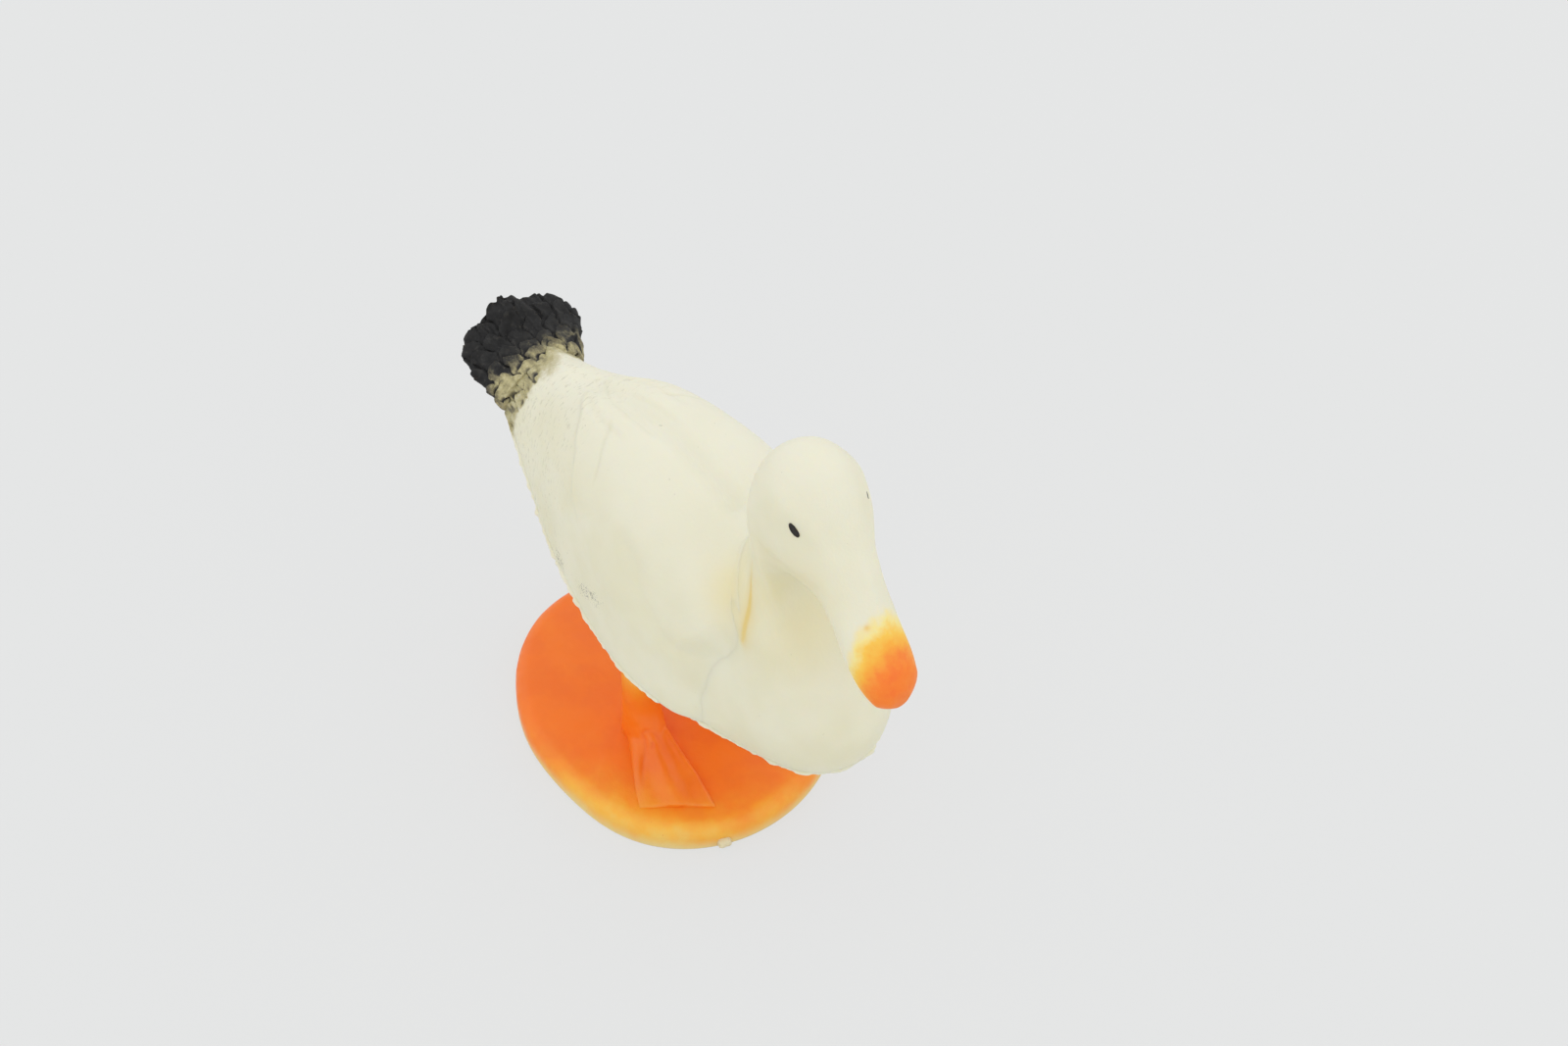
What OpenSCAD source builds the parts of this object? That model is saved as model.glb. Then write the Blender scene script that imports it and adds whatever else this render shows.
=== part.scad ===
// Small moulded farmyard goose standing on an oval plinth.
// Units are millimetres. The origin is the centre of the plinth's underside,
// +X is the way the body faces, +Y is the bird's left, +Z is up.

/* [Plinth] */
// Length of the plinth, front to back
plinth_length = 37.6; // [36:0.2:41]
// Width of the plinth
plinth_width = 32.4; // [31:0.2:36]
// Height of the plinth
plinth_height = 3.2; // [2.8:0.1:4]
// Rounding along the plinth's top edge
plinth_round = 1.6; // [1:0.1:2]
// Width of the moulding gate left on the edge
gate_width = 1.4; // [0.8:0.1:2.4]
// How far the gate stands out of the edge
gate_length = 0.5; // [0.3:0.1:1.5]

/* [Legs and feet] */
// Thickness of a leg
leg_diameter = 4; // [3.6:0.1:4.6]
// Distance between the two leg axes
leg_spacing = 9.6; // [9:0.1:11]
// Legs ahead of the plinth centre
leg_forward = 1.4; // [0:0.1:2]
// Angle that each foot turns out
toe_out = 17; // [13:1:20]
// Distance from the leg axis to the front of the foot
foot_length = 11.6; // [10.5:0.1:12.2]
// Width of a foot across its toes
foot_width = 7.8; // [7:0.1:8.6]
// Height of the instep at the ankle
instep_height = 3; // [2.4:0.1:3.6]
// Height of the toes at their tips
toe_height = 0.9; // [0.7:0.1:1.3]
// Depth of the webbing between the toes as a share of the foot's height
web_depth = 0.4; // [0.2:0.05:0.6]
// Slant of the foot's front edge, which reaches further on the inner side
toe_slant = 0.34; // [0:0.02:0.4]
// Hollow of the web's front edge between two toes
toe_scallop = 0.3; // [0:0.05:0.8]

/* [Body] */
// Height of the moulding's widest line above the ground
rim_height = 23; // [21.5:0.1:25]
// Length of the body along its widest line
body_length = 55; // [52:0.5:59]
// Full width of the body at its widest line
body_width = 23.6; // [22:0.1:26]
// Height of the crown above the widest line
crown_rise = 40.4; // [38:0.1:43]
// Depth of the belly below the widest line
belly_drop = 8.2; // [7.6:0.1:10]
// Step between the widest line and the belly under it
rim_step = 0.5; // [0.3:0.05:0.9]
// Depth of the groove between the folded wings
wing_groove = 0.8; // [0.4:0.05:1.2]

/* [Head] */
// Sideways turn of the head to the bird's right
head_turn = 5; // [0:1:12]
// Width of the skull
skull_width = 10.6; // [10:0.1:12]
// Width of the bill near its end
bill_width = 6.2; // [5.6:0.1:7.4]
// Length of a painted eye dot
eye_length = 1.5; // [1.3:0.05:2.2]
// Height of a painted eye dot
eye_height = 0.8; // [0.7:0.05:1.2]
// Thickness of the paint that fills an eye's dimple
eye_depth = 0.3; // [0.2:0.05:0.5]

/* [Tail] */
// Width of the tail fan
fan_width = 13.6; // [12.6:0.1:15]
// Length of the tail fan
fan_length = 9; // [7.6:0.1:10]
// Height of the feather ridges on the fan
fan_ridge = 0.25; // [0.1:0.05:0.4]
// How far each feather tip stands out of the fan's edge
fan_scallop = 0.5; // [0.3:0.05:0.9]

/* [Fits] */
// Diameter of the locating pegs
peg_diameter = 3; // [2.6:0.1:3.4]
// Length of the locating pegs
peg_length = 2; // [1.6:0.1:2.2]
// Gap round each peg and past its end
fit_gap = 0.1; // [0.05:0.01:0.2]

/* [Hidden] */

// Rear body stations: dorsal x and z, widest line x and z, belly z, half
// width as a share of the body's. Heights count from the widest line.
rear_stations = [
    [-22.8, 12.6, -23.4, 7.2, 4.8, 0.42],
    [-20.2, 14.1, -20.6, 4.9, 2.4, 0.46],
    [-16.0, 15.8, -16.2, 2.6, -1.0, 0.57],
    [-10.6, 18.4, -10.6, 1.0, -4.2, 0.72],
    [-4.8, 20.4, -4.8, 0.2, -6.4, 0.84],
    [1.2, 21.6, 1.2, 0.0, -7.8, 0.94],
    [7.2, 21.3, 7.2, 0.0, -8.2, 1.0],
    [13.2, 19.8, 13.2, 0.0, -8.0, 0.955],
    [19.7, 18.8, 19.7, 0.0, -7.0, 0.80]];

// Breast, neck, head and bill stations: dorsal x and z, ventral x and z, half
// width as a share, place of the widest point as a share of the depth,
// fullness of the ventral side, sideways shift.
front_stations = [
    [13.2, 17.6, 13.2, -8.0, 0.885, 0.69, 0.7, 1.0],
    [14.6, 18.8, 18.9, -7.2, 0.81, 0.69, 0.75, 1.0],
    [15.5, 21.0, 25.2, -5.2, 0.745, 0.66, 0.85, 0.9],
    [16.2, 23.8, 30.4, -1.2, 0.69, 0.62, 1, 0.8],
    [16.8, 26.8, 32.4, 4.4, 0.60, 0.56, 1, 0.7],
    [17.4, 30.0, 31.2, 10.4, 1.13, 0.50, 1, 0.6],
    [18.4, 34.0, 28.2, 15.8, 1.00, 0.45, 1, 0.4],
    [20.2, 37.8, 26.0, 19.8, 1.00, 0.40, 1, 0.1],
    [22.8, 40.2, 25.0, 22.8, 1.00, 0.42, 1, 0.1],
    [26.0, 40.5, 25.8, 25.0, 0.98, 0.45, 1, 0.1],
    [28.9, 38.8, 27.8, 25.8, 0.84, 0.50, 1, 0.1],
    [31.2, 35.3, 30.4, 25.4, 1.07, 0.52, 1, 0.1],
    [33.4, 31.7, 32.9, 24.0, 1.00, 0.52, 1, 0.1],
    [35.8, 28.6, 35.4, 21.6, 1.00, 0.52, 1, 0.1],
    [38.4, 25.6, 38.2, 20.4, 0.96, 0.52, 1, 0.1],
    [40.4, 23.6, 40.3, 19.9, 0.72, 0.52, 1, 0.1],
    [41.2, 22.4, 41.2, 20.4, 0.30, 0.52, 1, 0.1]];
skull_from = 5;
bill_from = 11;

// Tail fan stations: share of its length, centre z, half width as a share,
// half thickness.
fan_stations = [
    [0, 8.7, 0.74, 3.9],
    [0.25, 9.4, 0.87, 2.9],
    [0.55, 10.0, 1.0, 1.9],
    [0.82, 10.7, 0.96, 1.5],
    [1.0, 11.1, 0.74, 1.1]];

ring_count = 48;
slices = 4;

// Catmull-Rom value of a station list at position s, counted in stations.
function spline(list, s) =
    let (last = len(list) - 1,
         i = min(floor(s), last - 1),
         t = s - i,
         p0 = list[max(i - 1, 0)],
         p1 = list[i],
         p2 = list[i + 1],
         p3 = list[min(i + 2, last)])
    0.5 * (2 * p1 + t * (p2 - p0) + t * t * (2 * p0 - 5 * p1 + 4 * p2 - p3)
        + t * t * t * (3 * p1 - p0 - 3 * p2 + p3));

function ease(t) = let (u = min(max(t, 0), 1)) u * u * (3 - 2 * u);

function power(v, e) = sign(v) * pow(abs(v), e);

function mean(ring) = [for (i = [0:2]) [for (p = ring) p[i]] * [for (p = ring) 1 / len(ring)]];

// Closed solid through a list of rings with equal point counts. The points run
// clockwise round each ring when the next ring lies towards the viewer.
module loft(rings) {
    n = len(rings[0]);
    m = len(rings);
    polyhedron(
        points = concat([for (r = rings) each r], [mean(rings[0]), mean(rings[m - 1])]),
        faces = concat(
            [for (i = [0:m - 2], j = [0:n - 1]) each [
                [i * n + j, i * n + (j + 1) % n, (i + 1) * n + (j + 1) % n],
                [i * n + j, (i + 1) * n + (j + 1) % n, (i + 1) * n + j]]],
            [for (j = [0:n - 1]) [m * n, (j + 1) % n, j]],
            [for (j = [0:n - 1]) [m * n + 1, (m - 1) * n + j, (m - 1) * n + (j + 1) % n]]),
        convexity = 8);
}

// Shape tables are drawn for these sizes and stretched to the ones above.
table_length = front_stations[4][2] - rear_stations[0][2];
table_crown = 40.4;
table_drop = 8.2;

function place(x, y, z) = [
    x * body_length / table_length,
    y,
    rim_height + (z > 0 ? z * crown_rise / table_crown : z * belly_drop / table_drop)];

// Rear body: its last station stands ahead of the seam with the breast, where
// only the two folded wings are left beside the neck.
seam = 7;
rear_from = 1;
boxy = 0.28;
lean = 1;
shoulder = 3.2;
shoulder_height = 9;
shoulder_slope = 7;
groove_half = 1.3;
groove_from = 1.5;

function back_ring(s) =
    let (v = spline(rear_stations, s),
         w = v[5] * body_width / 2,
         e = 1 - boxy * ease((s - rear_from) / 3),
         arcs = 36,
         floor_points = 7)
    concat(
        [for (j = [0:arcs])
            let (a = 180 * j / arcs - 90,
                 up = power(cos(a), e),
                 out = power(sin(a), e),
                 z = v[3] + (v[1] - v[3]) * up,
                 ahead = shoulder * ease(s - seam) * ease((z - shoulder_height) / shoulder_slope),
                 dip = wing_groove * exp(-pow(out * w / groove_half, 2))
                     * ease((s - groove_from) / groove_from))
            place(v[2] + (v[0] - v[2]) * up + ahead, lean + w * out, z - dip)],
        [for (j = [1:floor_points])
            place(v[2], lean + w * (1 - 2 * j / (floor_points + 1)), v[3])]);

keel = 0.7;

function belly_ring(s) =
    let (v = spline(rear_stations, s),
         w = v[5] * body_width / 2 - rim_step,
         arcs = 24,
         floor_points = 5)
    concat(
        [for (j = [0:arcs])
            let (a = 90 + 180 * j / arcs)
            place(v[2],
                  lean + w * power(sin(a), 1 / keel),
                  v[3] + (v[4] - v[3]) * power(-cos(a), 1 / keel))],
        [for (j = [1:floor_points])
            place(v[2], lean + w * (2 * j / (floor_points + 1) - 1), v[3])]);

neck_pinch = 0.5;
turn_axis = 20;
turn_start = 4;
turn_end = 8;

function front_width(s, share) =
    share / 2 * (s < skull_from - 1 ? body_width
        : s < skull_from ? body_width + (skull_width - body_width) * (s - skull_from + 1)
        : s < bill_from - 1 ? skull_width
        : s < bill_from ? skull_width + (bill_width - skull_width) * (s - bill_from + 1)
        : bill_width);

function front_half(s) =
    let (i = floor(s), t = s - i, n = len(front_stations) - 1)
    spline([for (k = [0:n]) front_width(k, front_stations[k][4])], s);

// Point of the breast or head at station s and angle a round the ring.
function front_point(s, a) =
    let (v = spline(front_stations, s),
         turn = head_turn * ease((s - turn_start) / (turn_end - turn_start)),
         dorsal = [v[0], v[1]],
         ventral = [v[2], v[3]],
         middle = dorsal + (ventral - dorsal) * v[5],
         up = cos(a),
         e = up > 0 ? 1 : 1 / v[6],
         q = middle + (up > 0 ? dorsal - middle : middle - ventral) * power(up, e),
         pinch = up > 0 ? 1 + neck_pinch * ease(s) * ease((skull_from + 1.5 - s) / 2) : e,
         w = front_half(s) * power(sin(a), pinch),
         ahead = q[0] - turn_axis)
    place(turn_axis + ahead * cos(turn) + w * sin(turn), v[7] + w * cos(turn) - ahead * sin(turn), q[1]);

function front_ring(s) = [for (j = [0:ring_count - 1]) front_point(s, 360 * j / ring_count)];

function front_rings(last) = [for (k = [0:3 * last]) front_ring(k / 3)];

// Places of the pegs that join the mouldings.
seam_x = rear_stations[seam][0] * body_length / table_length;
tail_x = rear_stations[0][2] * body_length / table_length;
peg_side = 4;
upper_peg_rise = 8;
lower_peg_drop = 3;
tail_peg_rise = 9;
upper_peg = rim_height + upper_peg_rise;
lower_peg = rim_height - lower_peg_drop;
belly_peg_places = [-2, 8];
tail_peg_height = rim_height + tail_peg_rise * crown_rise / table_crown;
peg_facets = 32;

// A peg of the given length along Z, or with a gap the socket that takes it.
module peg(length, gap = 0) {
    root = gap > 0 ? gap : length;
    translate([0, 0, -root])
        cylinder(d = peg_diameter + 2 * gap, h = root + length + gap, $fn = peg_facets);
}

module seam_pegs(z, gap = 0) {
    for (side = [-1, 1])
        translate([seam_x, lean + side * peg_side, z])
            rotate([0, -90, 0])
                peg(peg_length, gap);
}

module belly_pegs(gap = 0) {
    for (x = belly_peg_places)
        translate([x, lean, rim_height])
            peg(peg_length, gap);
}

module tail_peg(gap = 0) {
    translate([tail_x, lean, tail_peg_height])
        rotate([0, 90, 0])
            peg(peg_length, gap);
}

module back() {
    color("ivory") difference() {
        loft(concat(
            [for (k = [0:slices * seam]) back_ring(k / slices)],
            [for (k = [1:2 * slices]) back_ring(seam + k / (2 * slices))]));
        loft(front_rings(6));
        seam_pegs(upper_peg, fit_gap);
        belly_pegs(fit_gap);
        tail_peg(fit_gap);
    }
}

module belly() {
    color("ivory") difference() {
        union() {
            loft([for (k = [0:slices * seam]) belly_ring(k / slices)]);
            belly_pegs();
        }
        seam_pegs(lower_peg, fit_gap);
        for (side = [-1, 1])
            leg_column(side, fit_gap);
    }
}

// Eyes: station, angle down from the crown line, tilt of the long axis.
eye_station = 9.9;
eye_angle = 60;
eye_tilt = 0;
paint_gap = 0.02;
eye_facets = 24;
eye_dome = 0.1;

function unit(v) = v / norm(v);

// Ring of an eye: grow is added to its outline, out is measured along the
// head's normal.
function eye_ring(side, grow, out) =
    let (a = side * eye_angle,
         p = front_point(eye_station, a),
         along = unit(front_point(eye_station + 0.1, a) - front_point(eye_station - 0.1, a)),
         normal = unit(side * cross(front_point(eye_station, a + side) - p, along)),
         across = cross(normal, along),
         long_axis = along * cos(eye_tilt) + across * side * sin(eye_tilt),
         short_axis = cross(normal, long_axis))
    [for (j = [0:eye_facets - 1])
        let (b = -360 * j / eye_facets)
        p + normal * out + long_axis * (eye_length / 2 + grow) * cos(b)
            + short_axis * (eye_height / 2 + grow) * sin(b)];

module eye(side) {
    color("black")
        loft([eye_ring(side, 0, -eye_depth), eye_ring(side, 0, 0),
              eye_ring(side, -eye_height / 8, eye_dome * 0.7),
              eye_ring(side, -eye_height / 3, eye_dome)]);
}

module eye_right() {
    eye(-1);
}

module eye_left() {
    eye(1);
}

module breast_head() {
    color("ivory") difference() {
        union() {
            loft(front_rings(len(front_stations) - 1));
            seam_pegs(upper_peg);
            seam_pegs(lower_peg);
        }
        for (side = [-1, 1])
            loft([eye_ring(side, paint_gap, -eye_depth - paint_gap), eye_ring(side, paint_gap, eye_depth)]);
    }
}

// Tail fan: an oval section that widens and thins out towards the feather tips.
fan_slices = 14;
fan_points = 96;
feathers = 7;
fan_shift = 0.8;

function fan_ring(t) =
    let (v = spline(fan_stations, t * (len(fan_stations) - 1)),
         root = rear_stations[0],
         slant = (root[0] - root[2]) / (root[1] - root[3]))
    [for (j = [0:fan_points - 1])
        let (a = -360 * j / fan_points,
             w = v[2] * fan_width / 2,
             feather = pow(cos(feathers * 90 * sin(a)), 2),
             z = v[1] + (v[3] + fan_ridge * (feather - 0.5) * ease(3 * t)) * cos(a),
             x = root[2] + slant * (z - root[3]) - (v[0] * fan_length + fan_scallop * feather * pow(t, 3))
                 * table_length / body_length)
        place(x, lean + fan_shift * ease(2 * t) + w * sin(a), z)];

module tail_fan() {
    color("black") union() {
        loft([for (k = [0:fan_slices]) fan_ring(k / fan_slices)]);
        tail_peg();
    }
}

// Legs and feet
leg_facets = 32;
leg_top = rim_height - 2;
foot_slices = 16;
toes = 3;

// Foot stations: share of the length, half width as a share of the foot's,
// height from the toes' at its low end to the instep's at 1.
toe_level = 0.3;
foot_stations = [
    [-0.24, 0.30, 0.30],
    [-0.16, 0.44, 0.75],
    [0.0, 0.52, 1.0],
    [0.2, 0.58, 0.85],
    [0.45, 0.72, 0.55],
    [0.75, 0.9, 0.38],
    [1.0, 0.98, 0.3]];
edge_level = 0.15;
web_from = 0.2;
front_from = 0.5;

// How much of a toe there is at u, from -1 to 1 across the foot.
function toe(u) = pow(cos(90 * (toes - 1) * u), 2);

// Point of a foot: the inner side, where the front edge reaches further, is
// the bird's left on the right foot and its right on the left foot.
function foot_point(t, u, side, height) =
    let (v = spline(foot_stations, t * (len(foot_stations) - 1)),
         w = v[1] * foot_width / 2,
         front = ease((t - front_from) / (1 - front_from)))
    [v[0] * foot_length - (toe_scallop * (1 - toe(u)) + toe_slant * side * w * u) * front, w * u, height];

function foot_height(t, u) =
    let (v = spline(foot_stations, t * (len(foot_stations) - 1)),
         top = toe_height + (v[2] - toe_level) / (1 - toe_level) * (instep_height - toe_height),
         round = edge_level + (1 - edge_level) * (1 - pow(abs(u), 6)))
    top * round * (1 - web_depth * (1 - toe(u)) * ease((t - web_from) / front_from));

function foot_ring(t, side) =
    let (arcs = 24, floor_points = 7)
    concat(
        [for (j = [0:arcs])
            let (u = 2 * j / arcs - 1)
            foot_point(t, u, side, foot_height(t, u))],
        [for (j = [1:floor_points])
            foot_point(t, 1 - 2 * j / (floor_points + 1), side, 0)]);

module leg_column(side, gap = 0) {
    translate([leg_forward, side * leg_spacing / 2, plinth_height])
        cylinder(d = leg_diameter + 2 * gap, h = leg_top - plinth_height + gap, $fn = leg_facets);
}

module foot_peg(side, gap = 0) {
    translate([leg_forward, side * leg_spacing / 2, plinth_height])
        rotate([180, 0, 0])
            peg(peg_length, gap);
}

module leg(side) {
    color("orange") union() {
        leg_column(side);
        foot_peg(side);
        translate([leg_forward, side * leg_spacing / 2, plinth_height])
            rotate([0, 0, side * toe_out])
                loft([for (k = [0:foot_slices]) foot_ring(k / foot_slices, side)]);
    }
}

module leg_right() {
    leg(-1);
}

module leg_left() {
    leg(1);
}

// Plinth
plinth_facets = 96;
round_steps = 5;
lobe = 0.4;
lobes = 3;
lobe_turn = 55;
gate_angle = -20;

function plinth_ring(inset, z) = [for (j = [0:plinth_facets - 1])
    let (a = -360 * j / plinth_facets,
         r = lobe * cos(lobes * (a + lobe_turn)) - inset)
    [(plinth_length / 2 + r) * cos(a), (plinth_width / 2 + r) * sin(a), z]];

module plinth() {
    color("darkorange") difference() {
        union() {
            loft(concat(
                [plinth_ring(0, 0)],
                [for (k = [0:round_steps])
                    let (a = 90 * k / round_steps)
                    plinth_ring(plinth_round * (1 - cos(a)), plinth_height - plinth_round * (1 - sin(a)))]));
            rotate([0, 0, gate_angle])
                translate([0, -gate_width / 2, 0])
                    cube([plinth_length / 2 + gate_length, gate_width, plinth_height - plinth_round]);
        }
        for (side = [-1, 1])
            foot_peg(side, fit_gap);
    }
}

plinth();
leg_right();
leg_left();
belly();
back();
breast_head();
tail_fan();
eye_right();
eye_left();
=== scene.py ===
"""Looks of the small moulded goose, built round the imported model."""
import math

import bmesh
import bpy
import numpy as np
from mathutils import Matrix, Vector
from mathutils.bvhtree import BVHTree
from mathutils.kdtree import KDTree


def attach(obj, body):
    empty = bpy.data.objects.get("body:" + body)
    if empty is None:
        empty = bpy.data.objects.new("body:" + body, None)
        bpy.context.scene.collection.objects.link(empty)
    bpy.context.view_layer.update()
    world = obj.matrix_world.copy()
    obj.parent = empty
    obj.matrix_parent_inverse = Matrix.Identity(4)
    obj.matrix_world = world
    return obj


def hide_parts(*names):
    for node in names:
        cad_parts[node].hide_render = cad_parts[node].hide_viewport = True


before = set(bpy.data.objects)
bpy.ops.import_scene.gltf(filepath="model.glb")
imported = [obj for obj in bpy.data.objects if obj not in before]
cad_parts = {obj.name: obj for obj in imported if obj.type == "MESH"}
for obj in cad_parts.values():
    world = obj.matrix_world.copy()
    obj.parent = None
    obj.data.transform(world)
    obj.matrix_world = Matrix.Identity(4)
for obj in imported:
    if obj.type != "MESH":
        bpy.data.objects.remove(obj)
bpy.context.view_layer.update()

MM = 0.001  # metres
FAR = 9.0  # gap given to points that are nowhere near the other piece
FILLET = 3.6  # reach of the rounding in the fold between wing and breast
SUNK = 2.6  # depth below the breast's skin down to which the wing is raised
LINE_POINTS = 160

# Sizes of the figure in millimetres, and the tables of its lofts.
# Each row of REAR is a station of the body behind the breast: top x, top z, rim x, rim z,
# bottom z and half width as a share of BODY_WIDTH / 2. Heights are above the rim.
BODY_LENGTH = 55.0
BODY_WIDTH = 23.6
RIM = 23.0
RIM_STEP = 0.5
GROOVE = 0.8
TABLE_LENGTH = 55.8
LEAN = 1.0
SEAM = 7

REAR = np.array([
    [-22.8, 12.6, -23.4, 7.2, 4.8, 0.42],
    [-20.2, 14.1, -20.6, 4.9, 2.4, 0.46],
    [-16.0, 15.8, -16.2, 2.6, -1.0, 0.57],
    [-10.6, 18.4, -10.6, 1.0, -4.2, 0.72],
    [-4.8, 20.4, -4.8, 0.2, -6.4, 0.84],
    [1.2, 21.6, 1.2, 0.0, -7.8, 0.94],
    [7.2, 21.3, 7.2, 0.0, -8.2, 1.0],
    [13.2, 19.8, 13.2, 0.0, -8.0, 0.955],
    [19.7, 18.8, 19.7, 0.0, -7.0, 0.8]])

# Each row of FRONT is a station from the breast to the bill's tip: upper edge x and z, lower
# edge x and z, half width as a share, place of the widest line, fullness below, shift in y.
SKULL_WIDTH = 10.6
BILL_WIDTH = 6.2
SKULL_FROM = 5
BILL_FROM = 11
EYE_LENGTH = 1.45
EYE_HEIGHT = 0.78
HEAD_TURN = 5.0
TURN_AXIS = 20.0
FRONT = np.array([
    [13.2, 17.6, 13.2, -8.0, 0.885, 0.69, 0.7, 1.0],
    [14.6, 18.8, 18.9, -7.2, 0.81, 0.69, 0.75, 1.0],
    [15.5, 21.0, 25.2, -5.2, 0.745, 0.66, 0.85, 0.9],
    [16.2, 23.8, 30.4, -1.2, 0.69, 0.62, 1, 0.8],
    [16.8, 26.8, 32.4, 4.4, 0.6, 0.56, 1, 0.7],
    [17.4, 30.0, 31.2, 10.4, 1.13, 0.5, 1, 0.6],
    [18.4, 34.0, 28.2, 15.8, 1.0, 0.45, 1, 0.4],
    [20.2, 37.8, 26.0, 19.8, 1.0, 0.4, 1, 0.1],
    [22.8, 40.2, 25.0, 22.8, 1.0, 0.42, 1, 0.1],
    [26.0, 40.5, 25.8, 25.0, 0.98, 0.45, 1, 0.1],
    [28.9, 38.8, 27.8, 25.8, 0.84, 0.5, 1, 0.1],
    [31.2, 35.3, 30.4, 25.4, 1.07, 0.52, 1, 0.1],
    [33.4, 31.7, 32.9, 24.0, 1.0, 0.52, 1, 0.1],
    [35.8, 28.6, 35.4, 21.6, 1.0, 0.52, 1, 0.1],
    [38.4, 25.6, 38.2, 20.4, 0.96, 0.52, 1, 0.1],
    [40.4, 23.6, 40.3, 19.9, 0.72, 0.52, 1, 0.1],
    [41.2, 22.4, 41.2, 20.4, 0.3, 0.52, 1, 0.1]])
FRONT[:SKULL_FROM, 4] *= BODY_WIDTH / 2
FRONT[SKULL_FROM:BILL_FROM, 4] *= SKULL_WIDTH / 2
FRONT[BILL_FROM:, 4] *= BILL_WIDTH / 2

# Each row of FAN: share of the length, middle z, half width as a share, half thickness.
FAN_WIDTH = 13.6
FAN_LENGTH = 9.0
FEATHERS = 7
FAN = np.array([
    [0, 8.7, 0.74, 3.9],
    [0.25, 9.4, 0.87, 2.9],
    [0.55, 10.0, 1.0, 1.9],
    [0.82, 10.7, 0.96, 1.5],
    [1.0, 11.1, 0.74, 1.1]])

PLINTH_LENGTH = 37.6
PLINTH_WIDTH = 32.4
PLINTH_HEIGHT = 3.2
PLINTH_ROUND = 1.6
GATE_WIDTH = 1.4
GATE = (-1.2, 1.0), (-0.2, 1.0), (0.10, 0.92), (0.25, 0.75), (0.36, 0.5), (0.4, 0.25)
LEG_SPACING = 9.6
LEG_FORWARD = 1.4
LEG_RADIUS = 2.0
TOE_OUT = 17.0
TOE_SLANT = 0.34
TOE_SCALLOP = 0.3
FOOT_LENGTH = 11.6
FOOT_WIDTH = 7.8
INSTEP = 3.0
TOE = 0.9
# Each row of FOOT: share of the length, half width and height as shares.
FOOT = np.array([
    [-0.24, 0.30, 0.30],
    [-0.16, 0.44, 0.75],
    [0.0, 0.52, 1.0],
    [0.2, 0.58, 0.85],
    [0.45, 0.72, 0.55],
    [0.75, 0.9, 0.38],
    [1.0, 0.98, 0.3]])


# ---- numbers

def ease(t):
    """Smooth step from 0 to 1."""
    u = np.clip(t, 0, 1)
    return u * u * (3 - 2 * u)


def power(v, e):
    """Power that keeps the sign."""
    return np.sign(v) * np.abs(v) ** e


def spline(table, s):
    """Catmull-Rom values of a table of stations at positions s."""
    s = np.asarray(s, float)
    last = len(table) - 1
    i = np.clip(np.floor(s).astype(int), 0, last - 1)
    f = (s - i)[..., None]
    a, b, c, d = (table[np.clip(i + k, 0, last)] for k in (-1, 0, 1, 2))
    return 0.5 * (2 * b + f * (c - a) + f ** 2 * (2 * a - 5 * b + 4 * c - d)
                  + f ** 3 * (3 * b - a - 3 * c + d))


def lattice(ix, iy, iz, seed):
    """Repeatable random values from -1 to 1 at whole-number places."""
    h = (ix * 374761393 + iy * 668265263 + iz * 2147483647 + seed * 1274126177) & 0xFFFFFFFF
    h = ((h ^ (h >> 13)) * 1274126177) & 0xFFFFFFFF
    h = ((h ^ (h >> 16)) * 2246822519) & 0xFFFFFFFF
    return (h ^ (h >> 15)) / 2147483647.5 - 1


def noise(p, size, seed=0):
    """Smooth value noise from about -1 to 1 with lumps of the given size."""
    q = np.asarray(p, float) / size
    i = np.floor(q).astype(np.int64)
    f = q - i
    f = f * f * f * (f * (6 * f - 15) + 10)
    out = 0
    for corner in np.ndindex(2, 2, 2):
        w = np.abs(1 - np.array(corner) - f).prod(-1)
        out = out + w * lattice(*np.moveaxis(i + corner, -1, 0), seed)
    return out


def fractal(p, size, octaves=3, seed=0):
    """Noise summed over octaves of half the size and half the height."""
    total, gain = 0, 1.0
    for k in range(octaves):
        total = total + gain * noise(np.asarray(p) + 17.3 * k, size / 2 ** k, seed + k)
        gain *= 0.5
    return total


def place(x, y, z):
    """Point from table coordinates, whose heights start at the rim."""
    return np.stack(np.broadcast_arrays(x * BODY_LENGTH / TABLE_LENGTH, y, RIM + z), -1)


def turned_by(p, degrees):
    """Points turned about the upright axis."""
    c, s = math.cos(math.radians(degrees)), math.sin(math.radians(degrees))
    x, y, z = np.moveaxis(p, -1, 0)
    return np.stack([x * c - y * s, x * s + y * c, z], -1)


def even(points, count):
    """Positions, as shares of a dense run of points, that are evenly spaced along it."""
    step = np.linalg.norm(np.diff(points, axis=0), axis=1)
    run = np.concatenate([[0], np.cumsum(step)])
    return np.interp(np.linspace(0, run[-1], count), run, np.linspace(0, 1, len(points)))


def path(points):
    """Smooth curve through a few points."""
    t = np.linspace(0, len(points) - 1, 40 * len(points))
    dense = spline(np.array(points, float), t)
    return spline(np.array(points, float), even(dense, LINE_POINTS) * (len(points) - 1))


def nearest(p, line):
    """Distance from each point to a line of points, the index met and the gap's vector."""
    best = np.full(len(p), 1e9)
    index = np.zeros(len(p), int)
    for start in range(0, len(line), 20):
        block = line[start:start + 20]
        d = ((p[:, None, :] - block[None]) ** 2).sum(2)
        j = d.argmin(1)
        dj = d[np.arange(len(p)), j]
        closer = dj < best
        best[closer] = dj[closer]
        index[closer] = j[closer] + start
    return np.sqrt(best), index, p - line[index]


# ---- meshes

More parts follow.
